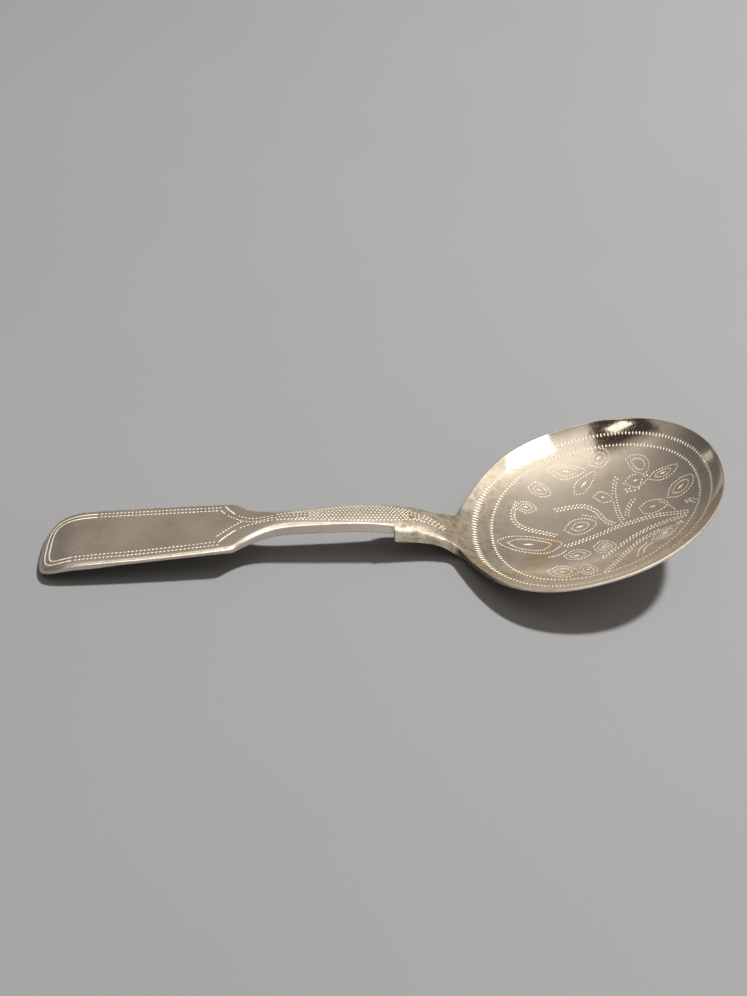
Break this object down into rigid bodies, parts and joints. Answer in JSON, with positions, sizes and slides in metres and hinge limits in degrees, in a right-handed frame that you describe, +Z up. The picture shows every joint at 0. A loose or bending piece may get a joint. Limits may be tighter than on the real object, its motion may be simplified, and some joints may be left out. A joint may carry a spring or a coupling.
{
  "type": "caddy spoon",
  "caption": "Small silver caddy spoon with a fiddle-shaped handle, squared shoulders, a turned-down end and a wide shallow oval bowl, for lifting dry tea leaves.",
  "frame": {"origin": "on the surface that the spoon lies on, under the middle of its box", "axes": "+X along the spoon from the handle's end to the bowl's tip, +Y to its side, +Z up out of the bowl"},
  "size_m": [0.089, 0.0322, 0.0126],
  "materials": {
    "bowl_silver": "hand-polished sterling silver, raised from sheet, lightly tarnished",
    "handle_silver": "hand-polished sterling silver, forged, soft satin wear with fine scratches",
    "silver_solder": "silver solder, tarnished to a greenish gold"
  },
  "bodies": {
    "root": {"bowl": "bowl_silver", "handle": "handle_silver", "solder_seam": "silver_solder"}
  },
  "joints": []
}
